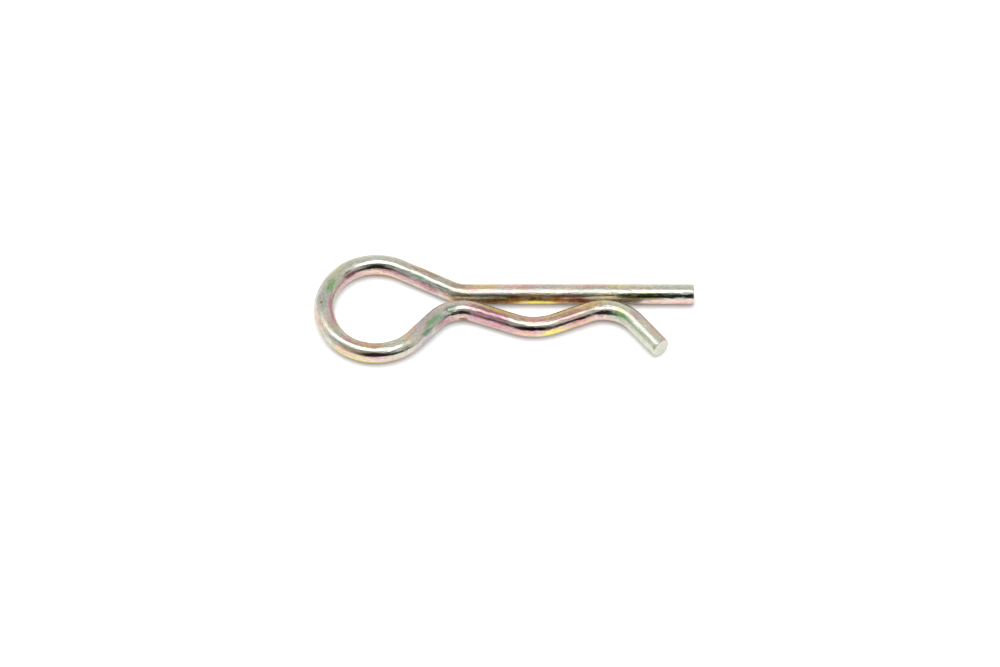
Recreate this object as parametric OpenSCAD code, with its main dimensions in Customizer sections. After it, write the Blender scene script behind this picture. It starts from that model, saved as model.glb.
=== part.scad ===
// Hairpin cotter: one round spring wire bent flat into a straight leg, an eye and a waved leg.
// The wire lies on its side on the XY plane. The eye is at -X and both leg ends point to +X.
// The origin is under the middle of the clip's outline, on the surface that it lies on.
// The wire is wrapped round a row of forming pins, and runs straight from one pin to the next.
// A bend radius is always measured to the middle of the wire.

/* [Wire] */
// Diameter of the wire
wire_d = 3.05; // [2.6:0.05:3.4]
// Depth of the broken edge round each cut end
end_break = 0.1; // [0.05:0.05:0.3]

/* [Straight leg] */
// Overall length, from the outside of the eye to the straight leg's cut end
overall_l = 56.9; // [55:0.05:62]
// Length of the straight leg, from its cut end to the neck bend
straight_l = 34.05; // [32.5:0.05:35.5]
// Bend radius of the neck
neck_r = 4.8; // [3:0.05:5.5]

/* [Eye] */
// Inside height of the eye, across the legs
eye_bore_h = 14.2; // [13.6:0.05:15]
// Bend radius of the eye's top and bottom
eye_r = 7.35; // [6:0.05:7.5]
// How much the bend radius of the eye's flatter outer side exceeds half the eye's height
eye_flat = 0.8; // [0.6:0.05:3.4]
// Distance that the eye's middle lies below the middle of the straight leg
eye_drop = 2.85; // [2:0.05:3.4]

/* [Waved leg] */
// Clearance between the humps and the straight leg
leg_gap = 0.1; // [0.05:0.05:0.8]
// Distance from the straight leg's cut end to the top of the first hump
hump1_x = 34.75; // [34:0.05:35.5]
// Bend radius of the first hump
hump1_r = 5.2; // [3.5:0.05:5.3]
// Distance from the straight leg's cut end to the bottom of the belly
belly_x = 24; // [23:0.05:25]
// Bend radius of the belly
belly_r = 7.75; // [5:0.05:8.5]
// Depth of the belly, between the middles of the two legs
belly_depth = 6.4; // [5:0.05:7]
// Distance from the straight leg's cut end to the top of the second hump
hump2_x = 13.65; // [12.8:0.05:14.5]
// Bend radius of the second hump
hump2_r = 6; // [3.5:0.05:6.5]
// Angle between the bent-out tip and the straight leg
tip_angle = 53; // [42:1:62]
// Length of the tip's straight part
tip_l = 6.3; // [4:0.05:8]

/* [Hidden] */
$fn = 96;
wire_r = wire_d / 2;

// Where a bend meets a straight run, the run is a hair slimmer and reaches a hair into the
// bend, so that the two fuse into one clean solid. The eye's side bend is drawn the same way.
lap_step = 0.005;
lap = 0.02;

// The legs and the eye, seen from above
end_x = overall_l / 2;
leg_y = eye_drop;
hump_y = leg_y - wire_d - leg_gap;
eye_half_h = (eye_bore_h + wire_d) / 2;
eye_side_r = eye_half_h + eye_flat;

// The eye's side pin is centred on the eye's middle line. The pins of its top and bottom sit
// inside the side pin's circle and touch it, so the wire passes between them without a kink.
side_pin_x = wire_r - end_x + eye_side_r;
eye_pin_y = eye_half_h - eye_r;
eye_pin_x = side_pin_x - sqrt(pow(eye_side_r - eye_r, 2) - pow(eye_pin_y, 2));

// Forming pins in the order that the wire meets them: [x, y, bend radius, turn].
// Turn is 1 where the wire bends to its left and -1 where it bends to its right.
PINS = [
    [end_x - straight_l, leg_y + neck_r, neck_r, -1],
    [eye_pin_x, eye_pin_y, eye_r, 1],
    [side_pin_x, 0, eye_side_r, 1],
    [eye_pin_x, -eye_pin_y, eye_r, 1],
    [end_x - hump1_x, hump_y - hump1_r, hump1_r, -1],
    [end_x - belly_x, leg_y - belly_depth + belly_r, belly_r, 1],
    [end_x - hump2_x, hump_y - hump2_r, hump2_r, -1],
];
SIDE_PIN = 2; // the eye's outer side
last_pin = len(PINS) - 1;

// Headings are in degrees from +X. The wire starts at the straight leg's cut end.
start_heading = 180;
tip_heading = -tip_angle;

// Heading of the wire on its way from pin a to pin b
function heading_between(a, b) =
    let (dx = b[0] - a[0], dy = b[1] - a[1])
    let (offset = b[2] * b[3] - a[2] * a[3])
    atan2(dy, dx) - asin(max(-1, min(1, offset / norm([dx, dy]))));

// Heading with which the wire reaches pin i, or leaves the last one
function heading(i) =
    i == 0 ? start_heading
    : i > last_pin ? tip_heading
    : heading_between(PINS[i - 1], PINS[i]);

// Angle that the wire turns through round pin i, always positive
function turn_angle(i) = (((heading(i + 1) - heading(i)) * PINS[i][3]) % 360 + 360) % 360;

// Point at which a wire with this heading touches the pin
function touch(pin, angle) =
    [pin[0] + pin[2] * pin[3] * sin(angle), pin[1] - pin[2] * pin[3] * cos(angle)];

// Bend round pin i. A lapped bend is the slimmer wire and reaches into both its neighbours.
module bend(i, lapped) {
    pin = PINS[i];
    first_heading = pin[3] > 0 ? heading(i) : heading(i + 1);
    lap_angle = lapped ? lap / pin[2] * 180 / PI : 0;
    translate([pin[0], pin[1], wire_r])
        rotate([0, 0, first_heading - 90 * pin[3] - lap_angle])
            rotate_extrude(angle = turn_angle(i) + 2 * lap_angle)
                translate([pin[2], 0])
                    circle(r = lapped ? wire_r - lap_step : wire_r);
}

// Straight run from pin i to the next. Pins that touch each other have none.
module run(i) {
    angle = heading(i + 1);
    from = touch(PINS[i], angle);
    length = norm(touch(PINS[i + 1], angle) - from);
    if (length > lap)
        translate([from[0], from[1], wire_r])
            rotate([0, 90, angle])
                translate([0, 0, -lap])
                    cylinder(r = wire_r - lap_step, h = length + 2 * lap);
}

// Straight wire from the bend round a pin to a cut end, whose edge is broken
module cut_end(pin, touch_heading, angle, length) {
    from = touch(pin, touch_heading);
    plain_r = wire_r - lap_step;
    translate([from[0], from[1], wire_r])
        rotate([0, 90, angle])
            rotate_extrude()
                polygon([
                    [0, -lap],
                    [plain_r, -lap],
                    [plain_r, length - end_break],
                    [plain_r - end_break, length],
                    [0, length],
                ]);
}

// The whole clip: one bent wire
module clip_wire() {
    color([0.80, 0.75, 0.64]) {
        cut_end(PINS[0], start_heading, start_heading + 180, straight_l);
        for (i = [0:last_pin])
            bend(i, lapped = i == SIDE_PIN);
        for (i = [0:last_pin - 1])
            run(i);
        cut_end(PINS[last_pin], tip_heading, tip_heading, tip_l);
    }
}

clip_wire();
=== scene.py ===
"""Hairpin cotter on a white studio floor: one bent spring wire with a worn iridescent film.

Lengths are millimetres until a mesh or an object is made, which is in metres.
"""
import math

import bpy
import numpy as np
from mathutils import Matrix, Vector


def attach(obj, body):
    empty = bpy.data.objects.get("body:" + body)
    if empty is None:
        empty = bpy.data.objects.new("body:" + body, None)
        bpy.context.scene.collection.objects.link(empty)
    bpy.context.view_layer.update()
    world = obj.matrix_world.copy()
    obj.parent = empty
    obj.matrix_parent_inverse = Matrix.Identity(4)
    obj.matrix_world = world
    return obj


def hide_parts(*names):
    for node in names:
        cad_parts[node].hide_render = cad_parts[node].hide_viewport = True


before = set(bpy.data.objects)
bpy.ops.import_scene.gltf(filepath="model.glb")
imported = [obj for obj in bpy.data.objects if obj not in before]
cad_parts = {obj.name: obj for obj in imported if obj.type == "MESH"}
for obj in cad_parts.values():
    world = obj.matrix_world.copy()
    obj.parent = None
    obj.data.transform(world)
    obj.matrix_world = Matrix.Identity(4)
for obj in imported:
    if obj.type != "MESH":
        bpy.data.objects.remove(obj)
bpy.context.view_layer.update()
MM = 0.001

# ---------------------------------------------------------------- the clip's sizes
WIRE_D = 3.05
OVERALL_L = 56.9
STRAIGHT_L = 34.05
NECK_R = 4.8
EYE_BORE_H = 14.2
EYE_R = 7.35
EYE_FLAT = 0.8
EYE_DROP = 2.85
LEG_GAP = 0.1
HUMP1_X, HUMP1_R = 34.75, 5.2
BELLY_X, BELLY_R, BELLY_DEPTH = 24.0, 7.75, 6.4
HUMP2_X, HUMP2_R = 13.65, 6.0
TIP_ANGLE, TIP_L = 53.0, 6.3

WIRE_R = WIRE_D / 2
END_X = OVERALL_L / 2
LEG_Y = EYE_DROP
HUMP_Y = LEG_Y - WIRE_D - LEG_GAP
EYE_HALF_H = (EYE_BORE_H + WIRE_D) / 2
EYE_SIDE_R = EYE_HALF_H + EYE_FLAT
SIDE_PIN_X = WIRE_R - END_X + EYE_SIDE_R
EYE_PIN_Y = EYE_HALF_H - EYE_R
EYE_PIN_X = SIDE_PIN_X - math.sqrt((EYE_SIDE_R - EYE_R) ** 2 - EYE_PIN_Y**2)

# Forming pins in the order that the wire meets them: x, y, bend radius, turn (1 left, -1 right)
PINS = (
    (END_X - STRAIGHT_L, LEG_Y + NECK_R, NECK_R, -1),
    (EYE_PIN_X, EYE_PIN_Y, EYE_R, 1),
    (SIDE_PIN_X, 0.0, EYE_SIDE_R, 1),
    (EYE_PIN_X, -EYE_PIN_Y, EYE_R, 1),
    (END_X - HUMP1_X, HUMP_Y - HUMP1_R, HUMP1_R, -1),
    (END_X - BELLY_X, LEG_Y - BELLY_DEPTH + BELLY_R, BELLY_R, 1),
    (END_X - HUMP2_X, HUMP_Y - HUMP2_R, HUMP2_R, -1),
)


# ---------------------------------------------------------------- the wire's middle line
def heading_between(a, b):
    """Heading in radians of the straight wire from pin a to pin b."""
    dx, dy = b[0] - a[0], b[1] - a[1]
    offset = (b[2] * b[3] - a[2] * a[3]) / math.hypot(dx, dy)
    return math.atan2(dy, dx) - math.asin(max(-1.0, min(1.0, offset)))


def touch(pin, angle):
    """Where a wire with this heading touches the pin."""
    x, y, radius, turn = pin
    return (x + radius * turn * math.sin(angle), y - radius * turn * math.cos(angle))


def wire_pieces():
    """The runs and bends in order: first point, first heading, length and curvature."""
    between = [heading_between(a, b) for a, b in zip(PINS, PINS[1:])]
    headings = [math.pi, *between, -math.radians(TIP_ANGLE)]
    point, pieces = (END_X, LEG_Y), []
    for pin, come, go in zip(PINS, headings, headings[1:]):
        start = touch(pin, come)
        run = math.dist(point, start)
        if run > 1e-6:
            pieces.append((point, come, run, 0.0))
        turned = ((go - come) * pin[3]) % (2 * math.pi)
        pieces.append((start, come, turned * pin[2], pin[3] / pin[2]))
        point = touch(pin, go)
    pieces.append((point, headings[-1], TIP_L, 0.0))
    return pieces


PIECES = wire_pieces()
WIRE_L = sum(piece[2] for piece in PIECES)


def middle_line(along):
    """Points and headings at these distances from the straight leg's cut end."""
    x, y, heading = np.zeros_like(along), np.zeros_like(along), np.zeros_like(along)
    begin = 0.0
    for number, ((px, py), angle, length, bend) in enumerate(PIECES):
        first, last = number == 0, number == len(PIECES) - 1
        here = ((along >= begin) | first) & ((along < begin + length) | last)
        d = along[here] - begin
        now = angle + bend * d
        if bend:
            x[here] = px + (np.sin(now) - math.sin(angle)) / bend
            y[here] = py - (np.cos(now) - math.cos(angle)) / bend
        else:
            x[here] = px + d * math.cos(angle)
            y[here] = py + d * math.sin(angle)
        heading[here] = now
        begin += length
    return x, y, heading


# ---------------------------------------------------------------- the wire's surface
# A place on the wire is its distance from the straight leg's cut end, and its angle round the
# wire: 0 on top, 90 on the left of someone who walks along it, -90 on the right.
AROUND = 64  # points in a ring
RING_STEP = 0.09
BODY_START = 0.3  # from each cut end to the first ring of the wire's body
FACE_RINGS = 14  # rings on each cut face
EDGE_RINGS = 5  # rings over each rolled edge
FADE_OF_CUT = 1.5  # from each cut end to where the rings are square to the wire again
SLACK = 0.006  # the surface wanders this far under the drawn size
# The wander's two parts: seed, lengths of the waves, and how deep they are
WAVES = (5, (3.1, 5.3, 9.7), 0.0018)
RIPPLES = (11, (1.15, 1.9), 0.0004)

# Marks of the forming tool, pits and nicks: distance, angle, half length, half width, depth
DENTS = (
    (88.3, -24, 0.15, 0.40, 0.022),
    (88.7, -56, 0.20, 0.30, 0.026),
    (88.5, -41, 0.13, 0.22, 0.030),
    (88.6, 8, 0.22, 0.50, 0.016),
    (89.6, -34, 0.25, 0.22, 0.012),
    (113.2, -37, 0.13, 0.24, 0.030),
    (113.6, -16, 0.16, 0.40, 0.020),
    (114.0, 12, 0.20, 0.40, 0.014),
    (114.9, -22, 0.20, 0.30, 0.020),
    (115.6, -50, 0.25, 0.25, 0.014),
    (61.8, -18, 0.11, 0.12, 0.060),
    (60.7, -28, 0.14, 0.10, 0.020),
    (63.3, -9, 0.16, 0.12, 0.018),
    (79.4, -20, 0.30, 0.22, 0.014),
    (81.0, -36, 0.22, 0.20, 0.016),
    (54.9, 55, 0.30, 0.30, 0.014),
    (44.2, 35, 0.20, 0.25, 0.008),
    (3.2, 48, 0.30, 0.20, 0.006),
    (5.6, 42, 0.35, 0.20, 0.006),
    (20.4, 30, 0.20, 0.30, 0.010),
    (97.8, -12, 0.20, 0.20, 0.012),
    (124.8, -49, 0.26, 0.22, 0.20),
    (8.0, -120, 0.40, 0.30, 0.012),
    (27.5, -95, 0.25, 0.35, 0.014),
    (50.0, -100, 0.30, 0.40, 0.016),
    (71.0, 150, 0.40, 0.40, 0.014),
    (103.0, 110, 0.30, 0.30, 0.014),
)

# How each end was cut: the angle of its longest side, the slope of the cut, edge radius, shift
LEG_CUT = (130, 1.2, 0.12, 0.0)
TIP_CUT = (-90, 4.0, 0.16, -0.10)
ROLL_SWAY, ROLL_WAVE = 0.35, 0.12  # how uneven the edge radius is round the wire
# A cut face's burnished part with its ridges, and its torn part with its grain: depths
BURNISHED, RIDGES = 0.004, 0.004
TORN, TORN_GRAIN = 0.022, 0.010
TORN_FROM, TORN_SWAY, TORN_STEP = 0.30, 0.12, 0.035  # the torn part's edge, in wire radii


def wander(along, angle, seed, lengths, amount):
    """Smooth seeded waviness over the wire, repeating round it."""
    rng = np.random.default_rng(seed)
    total = np.zeros(np.broadcast(along, angle).shape)
    for turns in (0, 1, 2, 3, 4):
        for length in lengths:
            phase, drift = rng.uniform(0, 2 * math.pi, 2)
            wave = np.cos(2 * math.pi * along / length + phase)
            total += wave * np.cos(turns * angle + drift + along / (length * 3))
    return total / total.std() * amount


def relief(along, angle):
    """How far the surface stands in from the drawn radius."""
    depth = SLACK + wander(along, angle, *WAVES)
    depth += wander(along, angle, *RIPPLES)
    for place, degrees, half_l, half_w, deep in DENTS:
        turn = (angle - math.radians(degrees) + math.pi) % (2 * math.pi) - math.pi
        spread = ((along - place) / half_l) ** 2 + (turn * WIRE_R / half_w) ** 2
        depth = depth + deep * np.exp(-spread)
    return np.maximum(depth, 0.0)


def cut_depth(angle, radius, cut):
    """How far a cut face stands back: burnished on the longest side, torn on the other."""
    longest, slope, _, shift = cut
    toward = radius / WIRE_R * np.cos(angle - math.radians(longest))
    across = radius / WIRE_R * np.sin(angle - math.radians(longest))
    tilt = (1 - toward) * WIRE_R * math.tan(math.radians(slope))
    edge = TORN_FROM + TORN_SWAY * np.cos(3.1 * across + 0.6)
    torn = 1 / (1 + np.exp((toward - edge) / TORN_STEP))
    grain = np.sin(9 * toward + 3.1 * across) * np.cos(7 * across - 2 * toward)
    ridges = RIDGES * np.cos(34 * across + 4 * toward)
    return shift + tilt + torn * (TORN + TORN_GRAIN * grain) + (1 - torn) * (BURNISHED + ridges)


def end_rings(angle, edge):
    """Distances and radii from near the middle of a cut face, over its rolled edge."""
    share = np.linspace(0, 1, FACE_RINGS + 1)[1:, None]
    turn = np.radians(np.linspace(0, 90, EDGE_RINGS + 1))[1:, None]
    roll = edge * (1 + ROLL_SWAY * np.cos(angle - 1.1) + ROLL_WAVE * np.cos(5 * angle))
    face_r = (WIRE_R - roll) * share
    rim_r = WIRE_R - roll * (1 - np.sin(turn))
    rim = roll * (1 - np.cos(turn))
    return np.vstack([np.zeros_like(face_r), rim]), np.vstack([face_r, rim_r])


def wire_surface():
    """Distance, angle and radius of every point of the skin, ring by ring."""
    angle = np.arange(AROUND) / AROUND * 2 * math.pi
    body = np.linspace(BODY_START, WIRE_L - BODY_START, int(WIRE_L / RING_STEP))[:, None]
    start, start_r = end_rings(angle, LEG_CUT[2])
    end, end_r = end_rings(angle, TIP_CUT[2])
    flat = np.vstack([start, body * np.ones(AROUND), WIRE_L - end[::-1]])
    radius = np.vstack([start_r, np.full((len(body), AROUND), WIRE_R), end_r[::-1]])
    turns = np.broadcast_to(angle, flat.shape)
    near_start = np.maximum(0, 1 - flat / FADE_OF_CUT)
    near_end = np.maximum(0, 1 - (WIRE_L - flat) / FADE_OF_CUT)
    along = flat + near_start * cut_depth(turns, radius, LEG_CUT)
    along = along - near_end * cut_depth(turns, radius, TIP_CUT)
    worn = radius - relief(flat, turns) * (radius / WIRE_R) ** 6
    return along, turns, worn, len(start)


def skin_faces(rings):
    """Quads between the rings and a fan over each end, as corner numbers."""
    ring, step = np.meshgrid(np.arange(rings - 1), np.arange(AROUND), indexing="ij")
    a, b = ring * AROUND + step, ring * AROUND + (step + 1) % AROUND
    quads = np.stack([a, b, b + AROUND, a + AROUND], -1).reshape(-1, 4)
    first, last, top = rings * AROUND, rings * AROUND + 1, (rings - 1) * AROUND
    now = np.arange(AROUND)
    after = (now + 1) % AROUND
    start_fan = np.stack([np.full(AROUND, first), after, now], -1)
    end_fan = np.stack([np.full(AROUND, last), top + now, top + after], -1)
    return quads, start_fan, end_fan


# ---------------------------------------------------------------- the bake map
# Lengths on the map are millimetres on the wire until all of them are divided by its side.
MAP_ROWS = 4
MAP_GAP = 0.45
ROUND_L = 2 * math.pi * WIRE_R
ROW_PITCH = ROUND_L + MAP_GAP
DISC_R = WIRE_R * 1.04
DISC_MARGIN = 0.3  # more room between the rows and the discs
DISC_ROWS = (0.5, 1.5)  # heights of the two discs' middles, in rows
TURNS_NOW = np.arange(AROUND) / AROUND * 2 * math.pi
TURNS_AFTER = TURNS_NOW + 2 * math.pi / AROUND
CORNER_TURNS = (TURNS_NOW, TURNS_AFTER, TURNS_AFTER, TURNS_NOW)


def on_disc(centre, reach, turns):
    """Map points at this distance from a disc's middle."""
    return np.stack([centre[0] + reach * np.cos(turns), centre[1] + reach * np.sin(turns)], -1)


def bake_map(rings, cap):
    """Map coordinates per corner: the unrolled wire in rows, with a disc for each cut end."""
    body_rings = rings - 2 * cap + 2
    row_rings = -(-(body_rings - 1) // MAP_ROWS)
    place = np.linspace(0, 1, body_rings) * (WIRE_L - 2 * BODY_START)
    disc_x = row_rings * place[1] + 2 * MAP_GAP + WIRE_R + DISC_MARGIN
    centres = [(disc_x, ROW_PITCH * row) for row in DISC_ROWS]
    uv = np.zeros((rings - 1, AROUND, 4, 2))
    for number in range(body_rings - 1):
        row = number // row_rings
        low, high = place[number : number + 2] - place[row * row_rings] + MAP_GAP
        bottom = np.arange(AROUND) / AROUND * ROUND_L + row * ROW_PITCH + MAP_GAP
        uv[cap - 1 + number, :, :, 0] = [low, low, high, high]
        uv[cap - 1 + number, :, :, 1] = bottom[:, None] + ROUND_L / AROUND * np.array([0, 1, 1, 0])
    for ring in range(cap - 1):
        inner, outer = DISC_R * (ring + 1) / cap, DISC_R * (ring + 2) / cap
        pairs = ((ring, centres[0], inner, outer), (rings - 2 - ring, centres[1], outer, inner))
        for here, centre, first, second in pairs:
            for corner, reach in enumerate((first, first, second, second)):
                uv[here, :, corner] = on_disc(centre, reach, CORNER_TURNS[corner])
    fans = []
    for centre, pair in zip(centres, ((TURNS_AFTER, TURNS_NOW), (TURNS_NOW, TURNS_AFTER))):
        middle = np.broadcast_to(centre, (AROUND, 2))
        rim = [on_disc(centre, DISC_R / cap, turns) for turns in pair]
        fans.append(np.stack([middle, *rim], 1).reshape(-1, 2))
    side = MAP_ROWS * ROW_PITCH + MAP_GAP
    return np.vstack([uv.reshape(-1, 2), *fans]) / side


# ---------------------------------------------------------------- the clip's mesh
def build_skin():
    """The clip as one closed mesh that remembers where each point was on the unbent wire."""
    along, angle, radius, cap = wire_surface()
    x, y, heading = middle_line(along.ravel())
    x, y, heading = (values.reshape(along.shape) for values in (x, y, heading))
    left_x, left_y = -np.sin(heading), np.cos(heading)
    aside, above = np.sin(angle), np.cos(angle)
    side, up = radius * aside, radius * above
    points = np.stack([x + side * left_x, y + side * left_y, WIRE_R + up], -1)
    unbent = np.stack([along, side, up], -1)
    outward = np.stack([aside * left_x, aside * left_y, above], -1)
    quads, start_fan, end_fan = skin_faces(len(along))
    middles = np.array([points[0].mean(0), points[-1].mean(0)])
    unbent_middles = np.array([unbent[0].mean(0), unbent[-1].mean(0)])
    points = np.vstack([points.reshape(-1, 3), middles]) * MM
    unbent = np.vstack([unbent.reshape(-1, 3), unbent_middles])

    mesh = bpy.data.meshes.new("clip_skin")
    faces = [*quads.tolist(), *start_fan.tolist(), *end_fan.tolist()]
    mesh.from_pydata(points.tolist(), [], faces)
    mesh.polygons.foreach_set("use_smooth", [True] * len(mesh.polygons))
    outward = np.vstack([outward.reshape(-1, 3), [[1, 0, 0], [1, 0, 0]]])  # the cut faces' middles
    for name, values in (("unbent", unbent), ("outward", outward)):
        kept = mesh.attributes.new(name, "FLOAT_VECTOR", "POINT")
        kept.data.foreach_set("vector", values.astype(np.float32).ravel())
    layer = mesh.uv_layers.new(name="OFBake")
    layer.uv.foreach_set("vector", bake_map(len(along), cap).astype(np.float32).ravel())
    mesh.update()
    return mesh


# ---------------------------------------------------------------- node helpers
class Shader:
    """Builds one node tree from Python expressions."""

    def __init__(self, owner=None, tree=None):
        if owner:
            owner.use_nodes = True
        self.tree = tree or owner.node_tree
        self.tree.nodes.clear()

    def node(self, kind, **settings):
        made = self.tree.nodes.new(kind)
        for name, value in settings.items():
            setattr(made, name, value)
        return made

    def feed(self, socket, value):
        if isinstance(value, bpy.types.NodeSocket):
            self.tree.links.new(value, socket)
        else:
            socket.default_value = value

    def math(self, operation, *values):
        made = self.node("ShaderNodeMath", operation=operation)
        for socket, value in zip(made.inputs, values):
            self.feed(socket, value)
        return made.outputs[0]

    def add(self, *values):
        total = values[0]
        for value in values[1:]:
            total = self.math("ADD", total, value)
        return total

    def times(self, *values):
        total = values[0]
        for value in values[1:]:
            total = self.math("MULTIPLY", total, value)
        return total

    def rise(self, value, low, high):
        """0 below low, 1 above high, smooth between."""
        made = self.node("ShaderNodeMapRange", interpolation_type="SMOOTHSTEP")
        self.feed(made.inputs["Value"], value)
        made.inputs["From Min"].default_value = low
        made.inputs["From Max"].default_value = high
        return made.outputs["Result"]

    def fall(self, value, low, high):
        """1 below low, 0 above high, smooth between."""
        return self.math("SUBTRACT", 1.0, self.rise(value, low, high))

    def vector(self, operation, *values):
        made = self.node("ShaderNodeVectorMath", operation=operation)
        for socket, value in zip(made.inputs, values):
            self.feed(socket, value)
        return made.outputs["Vector"]

    def split(self, vector):
        made = self.node("ShaderNodeSeparateXYZ")
        self.feed(made.inputs[0], vector)
        return made.outputs

    def band(self, value, rising, falling):
        """1 between two smooth edges, each given by where it starts and ends."""
        return self.times(self.rise(value, *rising), self.fall(value, *falling))

    def noise(self, place, along, across, detail=2.0, roughness=0.5, distortion=0.0, shift=0.0):
        """Noise from 0 to 1 over the unbent wire, with its cells per millimetre."""
        spread = self.vector("MULTIPLY", place, (along, across, across))
        made = self.node("ShaderNodeTexNoise")
        self.feed(made.inputs["Vector"], self.vector("ADD", spread, (shift, shift, shift)))
        made.inputs["Scale"].default_value = 1.0
        made.inputs["Detail"].default_value = detail
        made.inputs["Roughness"].default_value = roughness
        made.inputs["Distortion"].default_value = distortion
        return made.outputs[0]

    def swing(self, noises, amounts):
        """Sum of noises about zero, each by its own amount."""
        parts = [
            self.times(self.math("SUBTRACT", noises[name], 0.5), amount)
            for name, amount in amounts.items()
        ]
        return self.add(*parts)

    def blend(self, share, first, second):
        """Colour first, turned into colour second by the share."""
        made = self.node("ShaderNodeMix", data_type="RGBA")
        self.feed(made.inputs[0], share)
        for socket, colour in ((made.inputs[6], first), (made.inputs[7], second)):
            plain = not isinstance(colour, bpy.types.NodeSocket)
            self.feed(socket, (*colour, 1.0) if plain else colour)
        return made.outputs[2]


# ---------------------------------------------------------------- the film's colours, with painted light and shade
# The film's tones, and the order in which it goes through them as it gets thicker.
STEEL = (0.70, 0.72, 0.64)
MIST = (0.66, 0.75, 0.60)
STRAW = (0.84, 0.76, 0.48)
GOLD = (0.82, 0.60, 0.26)
AMBER = (0.70, 0.33, 0.10)
RUST = (0.52, 0.19, 0.15)
BRONZE = (0.42, 0.26, 0.05)
OLIVE = (0.32, 0.30, 0.18)
PEACH = (0.92, 0.64, 0.44)
ROSE = (0.84, 0.48, 0.47)
PINK = (0.80, 0.46, 0.54)
SHELL = (0.96, 0.70, 0.66)
MAGENTA = (0.68, 0.22, 0.36)
LAVENDER = (0.66, 0.52, 0.66)
TEAL = (0.28, 0.58, 0.47)
GREEN = (0.25, 0.60, 0.26)
LIME = (0.62, 0.86, 0.28)
YELLOW = (0.92, 0.80, 0.24)
FILM_ORDER = (
    (0.00, MIST),
    (0.22, STEEL),
    (0.40, STEEL),
    (0.50, STRAW),
    (0.58, PEACH),
    (0.68, ROSE),
    (0.78, LAVENDER),
    (0.90, TEAL),
    (1.00, MIST),
)
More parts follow.
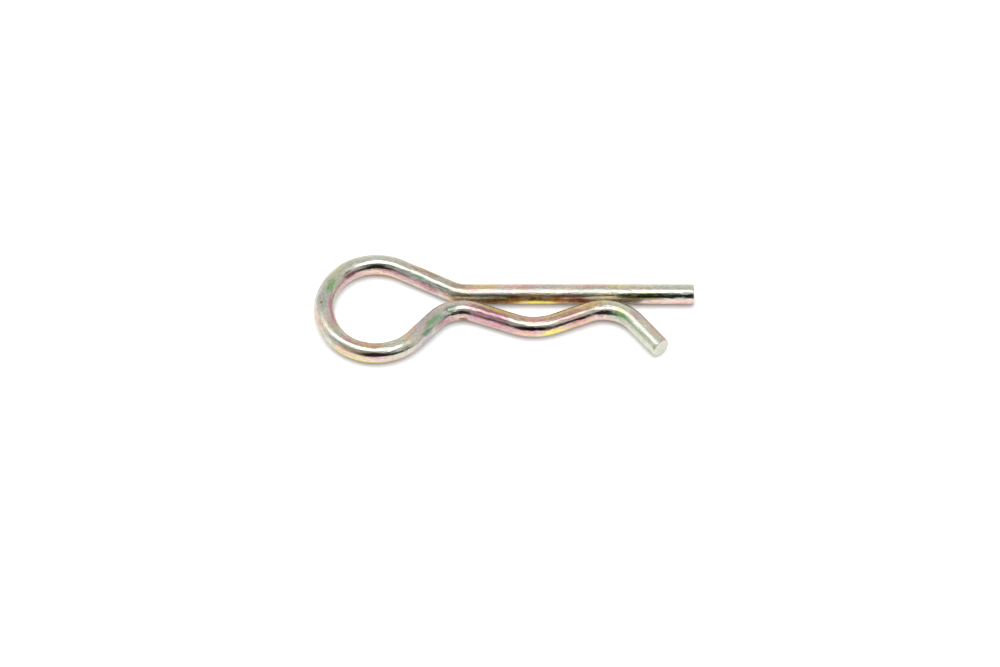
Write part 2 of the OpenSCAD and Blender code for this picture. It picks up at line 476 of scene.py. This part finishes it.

# Where the film shows one tone: distance, angle, half length, half angle, tone, strength, and
# how light it is there. Not all of it was typed by hand. In 59 of the 96 rows a program fitted
# the strength, the lightness or both to the photo's mean colour over the spot. In 49 rows one
# worked out the distance and the angle from a mark.
# Many rows are also painted light: their lightness stands in for what the metal reflects,
# darker for painted shade, lighter for painted highlights and painted reflections.
FILM_AND_PAINTED_LIGHT_SPOTS = (
    # the broad tint of each stretch
    # the next two are darker: film tint and painted shade where the straight leg's underside
    # reflects the shaded floor and the waved leg
    (21.5, 92, 11.0, 42, AMBER, 0.80, 0.60),
    (29.4, 88, 3.4, 36, BRONZE, 0.95, 0.30),
    (101.5, 24, 13.0, 44, GOLD, 0.65, 1.00),
    (99.0, -74, 13.0, 34, PINK, 0.70, 0.85),
    (55.0, 72, 5.5, 34, PINK, 0.65, 0.90),
    (57.0, 12, 4.5, 44, STRAW, 0.35, 0.85),
    # straight leg, upper side
    (3.0, -18, 4.2, 36, MIST, 0.25, 1.05),
    (7.6, -18, 2.6, 36, STRAW, 0.15, 1.15),
    (11.6, -18, 2.6, 36, STRAW, 0.80, 1.05),
    (16.2, -18, 3.4, 38, ROSE, 0.30, 1.15),
    (26.0, -18, 4.6, 40, ROSE, 0.55, 1.15),
    (31.6, -24, 2.6, 36, GOLD, 0.65, 1.05),
    (35.4, -14, 2.6, 36, PEACH, 0.70, 0.60),
    # the next two are lighter along the reflected softbox: film tint and painted highlight
    (29.0, 26, 6.0, 14, LAVENDER, 0.35, 1.25),
    (21.0, 26, 4.0, 14, STEEL, 0.60, 1.20),
    # straight leg, lower side
    (8.0, 50, 4.0, 22, LIME, 0.85, 0.80),
    (3.0, 50, 2.6, 15, TEAL, 0.35, 1.00),
    (12.6, 48, 2.4, 18, STRAW, 1.00, 1.15),
    (18.8, 46, 2.6, 14, ROSE, 0.75, 1.15),
    # lighter: rose film and a painted reflection of the bright floor
    (3.0, 94, 4.2, 30, ROSE, 0.40, 1.15),
    # the dark olive, rust, amber and bronze rows are film tint and painted shade: the shade and
    # waved leg reflected between the legs and by the humps
    (9.6, 77, 2.4, 44, OLIVE, 0.80, 0.35),
    (17.6, 77, 2.2, 26, RUST, 0.85, 0.55),
    (20.8, 74, 1.7, 24, AMBER, 1.00, 0.55),
    (23.6, 70, 2.3, 23, BRONZE, 1.00, 0.40),
    (23.6, 102, 3.9, 20, YELLOW, 1.00, 1.05),
    (23.4, 47, 3.0, 13, PEACH, 0.90, 1.05),
    (27.2, 70, 2.0, 24, AMBER, 1.00, 0.45),
    (30.2, 84, 2.2, 34, BRONZE, 0.90, 0.40),
    (29.6, 100, 3.4, 14, AMBER, 0.70, 0.40),
    (34.9, 66, 2.4, 36, OLIVE, 0.55, 1.05),
    # upper strand
    (37.7, 33, 1.4, 9, TEAL, 0.75, 0.35),
    (42.1, 37, 2.6, 7, TEAL, 0.50, 1.15),
    # darker across the reflected softbox: painted shade, a dark line that splits the highlight
    (41.6, 27, 2.8, 7, MIST, 1.00, 0.40),
    (39.4, 72, 3.0, 24, PINK, 1.00, 0.65),
    (44.8, 68, 3.8, 26, PINK, 0.85, 0.80),
    (40.9, -22, 3.2, 32, PEACH, 1.00, 0.60),
    # eye
    # next: peach film, lighter as a painted reflection of the bright floor; then a painted
    # highlight and painted shade on the eye's top
    (47.5, 107, 3.2, 20, PEACH, 1.00, 1.15),
    (49.0, -4, 4.5, 36, STEEL, 0.70, 1.30),
    (49.2, 38, 4.0, 7, STEEL, 0.85, 0.40),
    (54.3, 60, 1.3, 16, MAGENTA, 0.75, 0.65),
    (54.4, 35, 1.7, 6, OLIVE, 0.85, 0.45),
    (54.0, 50, 2.0, 8, RUST, 0.80, 0.50),
    (54.6, -21, 1.8, 26, STRAW, 0.50, 1.10),
    (58.4, 13, 1.8, 29, GREEN, 0.80, 0.95),
    (62.3, -23, 2.6, 30, TEAL, 0.25, 0.65),
    (61.8, -18, 0.3, 9, OLIVE, 1.00, 0.40),
    (60.6, -29, 0.3, 7, OLIVE, 0.40, 0.70),
    (62.9, 36, 4.6, 12, MAGENTA, 0.75, 1.15),
    (67.5, 6, 1.8, 18, LIME, 0.20, 0.75),
    (64.9, -72, 3.0, 26, ROSE, 0.35, 0.80),
    (70.2, 4, 1.6, 20, ROSE, 0.55, 1.00),
    (73.5, 9, 3.2, 28, PEACH, 1.00, 0.85),
    (71.0, -69, 3.2, 22, PEACH, 0.80, 0.95),
    # yellow film, lighter as a painted reflection of the bright floor
    (72.5, -109, 5.2, 18, YELLOW, 0.90, 1.15),
    (74.8, -66, 1.8, 18, PINK, 0.75, 1.00),
    (73.2, -74, 1.2, 14, STRAW, 0.65, 1.00),
    (72.6, -47, 3.6, 9, PEACH, 0.75, 1.00),
    # lower strand
    (88.8, -22, 1.5, 22, TEAL, 0.80, 0.40),
    (81.9, 28, 1.0, 15, YELLOW, 0.25, 1.15),
    (83.1, -49, 1.5, 18, TEAL, 0.80, 0.65),
    (85.0, -25, 2.3, 25, GREEN, 0.70, 0.80),
    (86.4, -46, 1.4, 15, TEAL, 0.60, 0.70),
    (82.2, -87, 2.6, 22, LAVENDER, 0.75, 0.95),
    (86.1, -74, 2.4, 22, PINK, 0.80, 0.70),
    (88.2, -84, 2.4, 28, PINK, 0.85, 0.65),
    # waved leg, upper side
    (111.2, 4, 2.4, 26, GOLD, 0.70, 0.90),
    (92.2, 26, 2.4, 16, ROSE, 0.60, 1.05),
    (111.2, -22, 2.0, 16, ROSE, 0.55, 0.65),
    (91.8, -2, 1.2, 18, PINK, 0.45, 1.15),
    (96.2, 18, 3.6, 30, GOLD, 1.00, 1.15),
    # pink film, also darkened to dim the reflected softbox: painted shade
    (95.4, -16, 4.6, 34, PINK, 1.00, 0.60),
    (96.4, 14, 2.6, 20, GOLD, 0.70, 1.05),
    (101.8, 8, 3.4, 30, ROSE, 0.80, 0.95),
    (107.2, 14, 4.2, 32, GOLD, 0.60, 1.15),
    (106.5, -12, 4.6, 26, ROSE, 0.65, 0.75),
    # rose film, darkened along the reflected highlight's upper edge: painted shade
    (108.4, -17, 3.4, 6, ROSE, 0.70, 0.65),
    # waved leg, lower side
    (93.8, -46, 2.4, 14, PINK, 1.00, 1.15),
    # the next two are lighter: yellow and peach film, and a painted reflection of the bright floor
    (105.0, -98, 3.2, 26, YELLOW, 0.90, 1.15),
    (101.0, -92, 2.0, 20, PEACH, 0.85, 1.15),
    (101.2, -70, 1.8, 18, ROSE, 0.60, 0.85),
    (91.0, -98, 1.2, 20, GOLD, 1.00, 0.30),
    (96.3, -72, 4.6, 28, PINK, 0.95, 0.90),
    (104.7, -77, 2.2, 22, YELLOW, 0.50, 1.10),
    (109.3, -71, 2.6, 26, ROSE, 1.00, 0.80),
    (108.6, -98, 1.9, 22, PEACH, 0.85, 1.05),
    # magenta film, darkened along the reflected dark line: painted shade
    (101.1, -52, 9.0, 7, MAGENTA, 1.00, 0.45),
    # second hump and tip
    (116.3, -46, 1.7, 16, GREEN, 0.80, 1.10),
    (116.3, 2, 1.8, 18, MIST, 1.00, 1.10),
    (112.5, -70, 1.2, 20, PINK, 1.00, 0.75),
    (114.3, -70, 0.9, 18, TEAL, 0.45, 0.80),
    (115.9, -28, 1.4, 13, LIME, 0.55, 0.85),
    (117.3, -46, 1.1, 10, GREEN, 0.90, 1.15),
    (120.5, -48, 3.2, 10, GREEN, 0.35, 0.80),
    (122.4, 0, 0.9, 11, STRAW, 0.15, 1.10),
    (121.2, -71, 3.6, 26, MIST, 0.70, 1.00),
    (116.4, -70, 1.6, 15, MIST, 0.80, 0.70),
)

# Where the wire is less bright: distance, angle, half length, half angle, added roughness.
# Where two of them overlap, the duller one counts.
DULL_SPOTS = (
    (15.5, 40, 6.5, 150, 0.15),
    (23.0, 40, 7.0, 150, 0.17),
    (31.0, 40, 6.5, 150, 0.15),
    (56.5, 5, 6.5, 170, 0.17),
    (64.0, 5, 6.5, 170, 0.15),
    (83.0, -20, 6.0, 170, 0.17),
    (119.5, -20, 5.0, 170, 0.17),
    (123.5, -20, 5.0, 170, 0.17),
    (41.0, -120, 9.0, 60, 0.10),
    (102.0, 120, 12.0, 60, 0.10),
)
BRIGHT_ROUGHNESS = 0.16
CUT_DULL = 0.22  # more roughness of the cut faces

FILM_VIVID = 1.14  # saturation of the finished film
CUT_STEEL = (0.78, 0.78, 0.68)
CUT_SHADE = 0.95
CUT_RADII = (1.30, 1.45)  # radii between which a bare cut face gives way to the film
METAL_EDGE = (0.85, 0.85, 0.83, 1.0)

# Noises over the unbent wire: cells per millimetre along it and across it, and other settings
NOISES = {
    "slow": dict(along=0.14, across=0.42, detail=1.5, distortion=0.3),
    "slower": dict(along=0.10, across=0.30, detail=1.0, shift=31.0),
    "rag": dict(along=0.55, across=1.7, shift=7.0),
    "mottle": dict(along=1.4, across=3.4, detail=3.0, roughness=0.6, shift=13.0),
    "streak": dict(along=0.10, across=5.5, roughness=0.55, shift=3.0),
    "grain": dict(along=5.0, across=11.0, roughness=0.6, shift=19.0),
    "tear": dict(along=0.50, across=4.2, detail=1.5, shift=23.0),
    "torn": dict(along=0.17, across=0.30, detail=1.0, shift=71.0),
    "fleck": dict(along=1.1, across=2.6, roughness=0.6, shift=43.0),
    "other": dict(along=1.3, across=2.9, roughness=0.6, shift=57.0),
}
# How much each noise moves the film's order, its roughness and its height
ORDER_SWINGS = {"slow": 2.1, "mottle": 0.70, "tear": 0.50}
DULL_SWINGS = {"mottle": 0.10, "grain": 0.06}
HEIGHT_SWINGS = {"streak": 0.010, "tear": 0.016, "mottle": 0.008, "grain": 0.002}  # millimetres
TORN_HEIGHT = 0.032  # more height of the tears where the wire is torn, in millimetres
SPOT_EDGE = (0.35, 1.12)  # shares of a spot's size between which it fades out
SPOT_RAG = 1.1  # how far its edge wanders, in shares of its size

# How far the film covers the metal: a least share, and more where it is thick
FILM_LEAST, FILM_MORE, FILM_THICK = 0.12, 0.55, (0.36, 0.62)
# The low front is lighter and pinker, part film tint and part painted reflection of the bright
# floor; the back has a tint: the normals that start to count and count in full
FLOOR_SHEEN_FACING, FLOOR_SHEEN_SHARE, FLOOR_SHEEN_SINK = (0.72, 1.0), 0.45, -0.35
BEHIND, BEHIND_SHARE = (0.35, 0.85), 0.20
# Flecks and wear: the noise at which each starts and is full, and its strength
STRAW_FLECKS, STRAW_SHARE = (0.52, 0.64), 0.20
PINK_FLECKS, PINK_SHARE = (0.36, 0.48), 0.26
MIST_FLECKS, MIST_SHARE = (0.54, 0.66), 0.22
WORN_STREAKS, WORN_MOTTLE, WORN_SHARE = (0.58, 0.74), (0.42, 0.62), 0.35
TORN_STRETCHES = (0.47, 0.57)
# Grime: the film's lightness where it is darkest, and how much each noise lightens it
GRIMY = 0.80
CLEAN_MOTTLE, MOTTLE_LIGHT = (0.38, 0.62), 0.22
CLEAN_GRAIN, GRAIN_LIGHT, TORN_GRAIN_LIGHT = (0.36, 0.62), 0.10, 0.20

TINY = 1e-6
JUST_UNDER_1 = 0.99999


def spot_group():
    """A node group: how much a place on the wire belongs to one ragged oval spot."""
    group = bpy.data.node_groups.new("spot", "ShaderNodeTree")
    names = ("Along", "Side", "Up", "Rag", "Centre", "Axis Side", "Axis Up", "Half L", "Half Turn")
    for name in names:
        group.interface.new_socket(name=name, in_out="INPUT", socket_type="NodeSocketFloat")
    group.interface.new_socket(name="Share", in_out="OUTPUT", socket_type="NodeSocketFloat")
    s = Shader(tree=group)
    given = s.node("NodeGroupInput").outputs
    beyond = s.math("SUBTRACT", given["Along"], given["Centre"])
    d_along = s.math("DIVIDE", beyond, given["Half L"])
    side = s.times(given["Side"], given["Axis Side"])
    up = s.times(given["Up"], given["Axis Up"])
    turn = s.math("ARCCOSINE", s.math("MINIMUM", s.add(side, up), JUST_UNDER_1))
    d_turn = s.math("DIVIDE", turn, given["Half Turn"])
    distance = s.math("SQRT", s.add(s.times(d_along, d_along), s.times(d_turn, d_turn)))
    ragged = s.add(distance, s.times(s.math("SUBTRACT", given["Rag"], 0.5), SPOT_RAG))
    s.feed(s.node("NodeGroupOutput").inputs["Share"], s.fall(ragged, *SPOT_EDGE))
    return group


class Film:
    """What the film's nodes need: where a point was on the unbent wire, and the noises there."""

    def __init__(self, shader):
        self.s = s = shader
        unbent = s.node("ShaderNodeAttribute", attribute_name="unbent").outputs["Vector"]
        outward = s.node("ShaderNodeAttribute", attribute_name="outward").outputs["Vector"]
        self.along, side, up = s.split(unbent)
        _, self.facing_y, self.facing_z = s.split(outward)
        self.radius = s.math("SQRT", s.add(s.times(side, side), s.times(up, up), TINY))
        self.side = s.math("DIVIDE", side, self.radius)
        self.up = s.math("DIVIDE", up, self.radius)
        self.noise = {name: s.noise(unbent, **how) for name, how in NOISES.items()}
        self.torn = s.rise(self.noise["torn"], *TORN_STRETCHES)
        self.cut = s.fall(self.radius, *CUT_RADII)
        self.group = spot_group()

    def spot(self, place, degrees, half_l, half_turn):
        """How much this point belongs to the spot."""
        made = self.s.node("ShaderNodeGroup", node_tree=self.group)
        turn = math.radians(degrees)
        fixed = (place, math.sin(turn), math.cos(turn), half_l, math.radians(half_turn))
        values = (self.along, self.side, self.up, self.noise["rag"], *fixed)
        for socket, value in zip(made.inputs, values):
            self.s.feed(socket, value)
        return made.outputs["Share"]


def film_tint_and_sheen(film):
    """The film's order drifts along the wire; the low front is lighter and pinker, film tint and
    painted reflection of the floor, and the back has a tint.
    """
    s = film.s
    order = s.node("ShaderNodeValToRGB")
    stops = order.color_ramp.elements
    for number, (place, tone) in enumerate(FILM_ORDER):
        stop = stops[number] if number < 2 else stops.new(place)
        stop.position = place
        stop.color = (*tone, 1.0)
    s.feed(order.inputs[0], s.add(s.swing(film.noise, ORDER_SWINGS), 0.5))
    thick = s.times(s.rise(film.noise["slower"], *FILM_THICK), FILM_MORE)
    colour = s.blend(s.add(thick, FILM_LEAST), STEEL, order.outputs[0])
    front = s.times(film.facing_y, -1.0)
    low = s.rise(s.add(front, s.times(film.facing_z, FLOOR_SHEEN_SINK)), *FLOOR_SHEEN_FACING)
    colour = s.blend(s.times(low, FLOOR_SHEEN_SHARE), colour, SHELL)
    behind = s.rise(film.facing_y, *BEHIND)
    return s.blend(s.times(behind, BEHIND_SHARE), colour, PEACH)


def film_wear(film, colour):
    """Flecks of the next tones break up every stretch, and worn streaks show bright metal."""
    s, noise = film.s, film.noise
    straw = s.times(s.rise(noise["fleck"], *STRAW_FLECKS), STRAW_SHARE)
    pink = s.times(s.fall(noise["fleck"], *PINK_FLECKS), PINK_SHARE)
    mist = s.times(s.rise(noise["other"], *MIST_FLECKS), MIST_SHARE)
    scraped = s.rise(noise["streak"], *WORN_STREAKS)
    worn = s.times(scraped, s.rise(noise["mottle"], *WORN_MOTTLE), WORN_SHARE)
    for share, tone in ((straw, STRAW), (pink, PINK), (mist, MIST), (worn, STEEL)):
        colour = s.blend(share, colour, tone)
    return colour


def film_colour(film):
    """The film with its spots and wear, darkened by grime, and the bare cut faces. Many spots are
    painted highlights, painted reflections or painted shade.
    """
    s = film.s
    colour = film_tint_and_sheen(film)
    # a spot's lightness is partly the film's own and partly painted light and shade
    for *spot, tone, strength, lightness in FILM_AND_PAINTED_LIGHT_SPOTS:
        share = s.times(film.spot(*spot), strength)
        colour = s.blend(share, colour, [channel * lightness for channel in tone])
    vivid = s.node("ShaderNodeHueSaturation")
    vivid.inputs["Saturation"].default_value = FILM_VIVID
    s.feed(vivid.inputs["Color"], film_wear(film, colour))
    colour = s.blend(film.cut, vivid.outputs[0], CUT_STEEL)
    mottled = s.times(s.rise(film.noise["mottle"], *CLEAN_MOTTLE), MOTTLE_LIGHT)
    sandy = s.add(GRAIN_LIGHT, s.times(film.torn, TORN_GRAIN_LIGHT))
    grainy = s.times(s.rise(film.noise["grain"], *CLEAN_GRAIN), sandy)
    shade = s.add(GRIMY, mottled, grainy)
    lit = s.vector("SCALE", colour)
    s.feed(lit.node.inputs["Scale"], s.math("MAXIMUM", shade, s.times(film.cut, CUT_SHADE)))
    return lit


def film_roughness(film):
    """Bright metal with its duller stretches, unevenly polished."""
    s = film.s
    dull = s.times(film.cut, CUT_DULL)
    for *spot, more in DULL_SPOTS:
        dull = s.math("MAXIMUM", dull, s.times(film.spot(*spot), more))
    return s.add(dull, s.swing(film.noise, DULL_SWINGS), BRIGHT_ROUGHNESS)


def film_bump(film):
    """Die lines run along the wire; lumps, tears and grain come from the plating."""
    s = film.s
    torn = s.swing(film.noise, {"tear": s.times(film.torn, TORN_HEIGHT)})
    bump = s.node("ShaderNodeBump")
    bump.inputs["Strength"].default_value = 1.0
    bump.inputs["Distance"].default_value = MM
    s.feed(bump.inputs["Height"], s.add(s.swing(film.noise, HEIGHT_SWINGS), torn))
    return bump.outputs[0]


def film_material():
    """Bright zinc under a thin iridescent film, on drawn wire with die lines."""
    material = bpy.data.materials.new("iridescent_zinc")
    s = Shader(material)
    film = Film(s)
    bsdf = s.node("ShaderNodeBsdfPrincipled")
    bsdf.inputs["Metallic"].default_value = 1.0
    bsdf.inputs["Specular Tint"].default_value = METAL_EDGE
    s.feed(bsdf.inputs["Base Color"], film_colour(film))
    s.feed(bsdf.inputs["Roughness"], film_roughness(film))
    s.feed(bsdf.inputs["Normal"], film_bump(film))
    s.feed(s.node("ShaderNodeOutputMaterial").inputs["Surface"], bsdf.outputs[0])
    return material


clip_mesh = build_skin()
clip_mesh.materials.append(film_material())
clip = bpy.data.objects.new("clip_skin", clip_mesh)
bpy.context.scene.collection.objects.link(clip)
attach(clip, "root")
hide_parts("clip_wire")

# ---------------------------------------------------------------- studio
FLOOR_HALF = 3.0  # metres
PAPER = (0.9, 0.9, 0.9, 1.0)
CREASE_SAMPLES = 8
FLOOR_GLOW = 0.72  # brings the paper that the camera sees to white
FLOOR_GLOW_MIRRORED = 0.41  # brings the paper that the metal reflects to white
CREASE, CREASE_MIRRORED = 0.0012, 0.008  # metres from a piece within which the glow is shaded
CREASE_OPEN = (0.16, 0.50)  # how open a mirrored crease is where its glow starts and is full
SOFTBOX_HEIGHT = 0.6  # metres
SOFTBOX_RADIANCE = 1.42
# Its middle, length and width are in heights
SOFTBOX_MIDDLE = (-0.435, 0.065)
SOFTBOX_L, SOFTBOX_W = 1.92, 0.50
SOFTBOX_TURN = math.radians(-24.2)


def floor_glow(s):
    """Glow for rays from the camera, and for rays from mirror-like and clear surfaces, dimmed near
    the pieces as painted shadow.
    """
    path = s.node("ShaderNodeLightPath").outputs
    sharp = s.math("MAXIMUM", path["Is Glossy Ray"], path["Is Transmission Ray"])

    def open_share(reach):
        crease = s.node("ShaderNodeAmbientOcclusion", samples=CREASE_SAMPLES)
        crease.inputs["Distance"].default_value = reach
        return crease.outputs["AO"]

    direct = s.times(path["Is Camera Ray"], open_share(CREASE), FLOOR_GLOW)
    clear = s.rise(open_share(CREASE_MIRRORED), *CREASE_OPEN)
    return s.add(direct, s.times(sharp, clear, FLOOR_GLOW_MIRRORED))


def add_floor():
    """White paper, which also glows to the camera and in the metal, with a painted shadow near the
    pieces.
    """
    corners = [(-1, -1), (1, -1), (1, 1), (-1, 1)]
    mesh = bpy.data.meshes.new("floor")
    mesh.from_pydata([(x * FLOOR_HALF, y * FLOOR_HALF, 0) for x, y in corners], [], [range(4)])
    floor = bpy.data.objects.new("floor", mesh)
    bpy.context.scene.collection.objects.link(floor)
    material = bpy.data.materials.new("white_paper")
    mesh.materials.append(material)
    s = Shader(material)
    paper = s.node("ShaderNodeBsdfDiffuse")
    paper.inputs["Color"].default_value = PAPER
    glow = s.node("ShaderNodeEmission")
    s.feed(glow.inputs["Strength"], floor_glow(s))
    both = s.node("ShaderNodeAddShader")
    s.feed(both.inputs[0], paper.outputs[0])
    s.feed(both.inputs[1], glow.outputs[0])
    s.feed(s.node("ShaderNodeOutputMaterial").inputs["Surface"], both.outputs[0])


def add_softbox():
    """One long softbox above the clip."""
    lamp = bpy.data.lights.new("softbox", "AREA")
    lamp.shape = "RECTANGLE"
    lamp.size, lamp.size_y = SOFTBOX_L * SOFTBOX_HEIGHT, SOFTBOX_W * SOFTBOX_HEIGHT
    lamp.energy = SOFTBOX_RADIANCE * math.pi * lamp.size * lamp.size_y
    box = bpy.data.objects.new("softbox", lamp)
    x, y = SOFTBOX_MIDDLE
    box.location = (x * SOFTBOX_HEIGHT, y * SOFTBOX_HEIGHT, SOFTBOX_HEIGHT)
    box.rotation_euler = (0, 0, SOFTBOX_TURN)
    box.visible_camera = False
    bpy.context.scene.collection.objects.link(box)


# Brightness of the room: its walls low down and high up, and its darker parts
ROOM_LOW, ROOM_HIGH = 0.95, 0.74
FRONT_WALL = 0.50
SHADE = 0.50
LINE = 0.04
CURTAIN = 0.02
# Where those parts are, seen from the clip: the degrees at which each smooth edge starts and
# ends. Heights are over the horizon, and turns go from the front towards +X.
HIGH_WALLS = (10, 55)
FRONT_TOP, FRONT_SIDES = (2, 10), (100, 140)
SHADE_TURNS = ((-100, -75), (20, 52))
SHADE_HEIGHTS = ((26, 36), (60, 72))
LINE_TURNS = ((-115, -25), (52, 82))
LINE_BOTTOM, LINE_TOP = (3, 9), (22, 30)
CURTAIN_TURNS = ((-44, -16), (44, 60))
CURTAIN_BOTTOM, CURTAIN_TOP = (-4, 3), (50, 63)
TILT = 0.17  # the line's bottom and the whole curtain sink by this share of the turn
ARCH = 0.7  # the curtain's top also sinks by this share of the turn to either side


def add_room():
    """A pale room: a dark arched curtain in front, and a thin dark line that goes on from it."""
    world = bpy.data.worlds.new("studio")
    bpy.context.scene.world = world
    s = Shader(world)
    dx, dy, dz = s.split(s.node("ShaderNodeTexCoord").outputs["Generated"])
    height = s.times(s.math("ARCSINE", dz), 180 / math.pi)
    turn = s.times(s.math("ARCTAN2", dx, s.times(dy, -1.0)), 180 / math.pi)
    aside = s.math("ABSOLUTE", turn)
    tilted = s.add(height, s.times(turn, TILT))
    arched = s.add(tilted, s.times(aside, ARCH))

    front = s.times(s.fall(height, *FRONT_TOP), s.fall(aside, *FRONT_SIDES))
    shade = s.times(s.band(turn, *SHADE_TURNS), s.band(height, *SHADE_HEIGHTS))
    line = s.times(s.rise(tilted, *LINE_BOTTOM), s.fall(height, *LINE_TOP))
    curtain = s.times(s.rise(tilted, *CURTAIN_BOTTOM), s.fall(arched, *CURTAIN_TOP))
    seen = s.node("ShaderNodeLightPath").outputs["Is Camera Ray"]
    level = ROOM_LOW
    for share, target in (
        (s.rise(height, *HIGH_WALLS), ROOM_HIGH),
        (front, FRONT_WALL),
        (shade, SHADE),
        (s.times(line, s.band(turn, *LINE_TURNS)), LINE),
        (s.times(curtain, s.band(turn, *CURTAIN_TURNS)), CURTAIN),
        (seen, 1.0),
    ):
        level = s.add(s.times(level, s.math("SUBTRACT", 1.0, share)), s.times(share, target))
    back = s.node("ShaderNodeBackground")
    s.feed(back.inputs["Strength"], level)
    s.feed(s.node("ShaderNodeOutputWorld").inputs["Surface"], back.outputs[0])


# ---------------------------------------------------------------- camera
ELEVATION = math.radians(50)
DISTANCE = 2.0  # metres
PX_PER_MM = 6.689
IMAGE_W, IMAGE_H = 1000, 667
ORIGIN_PX = (504.3, 315.3)  # where the frame's origin shows in the picture
SENSOR_W = 36
NEAREST, FARTHEST = 0.05, 20.0  # metres


def add_camera():
    """The photo's view, from the front and above."""
    lens = bpy.data.cameras.new("photo_view")
    lens.sensor_width = SENSOR_W
    lens.lens = SENSOR_W * DISTANCE / (IMAGE_W / PX_PER_MM * MM)
    lens.clip_start, lens.clip_end = NEAREST, FARTHEST
    camera = bpy.data.objects.new("photo_view", lens)
    back = Vector((0, -math.cos(ELEVATION), math.sin(ELEVATION)))
    right = Vector((1, 0, 0))
    up = back.cross(right)
    aside = (IMAGE_W / 2 - ORIGIN_PX[0]) / PX_PER_MM * MM
    above = (ORIGIN_PX[1] - IMAGE_H / 2) / PX_PER_MM * MM
    camera.rotation_mode = "QUATERNION"
    camera.rotation_quaternion = (-back).to_track_quat("-Z", "Y")
    camera.location = right * aside + up * above + back * DISTANCE
    bpy.context.scene.collection.objects.link(camera)
    bpy.context.scene.camera = camera


add_floor()
add_softbox()
add_room()
add_camera()
bpy.context.scene.view_settings.view_transform = "Standard"
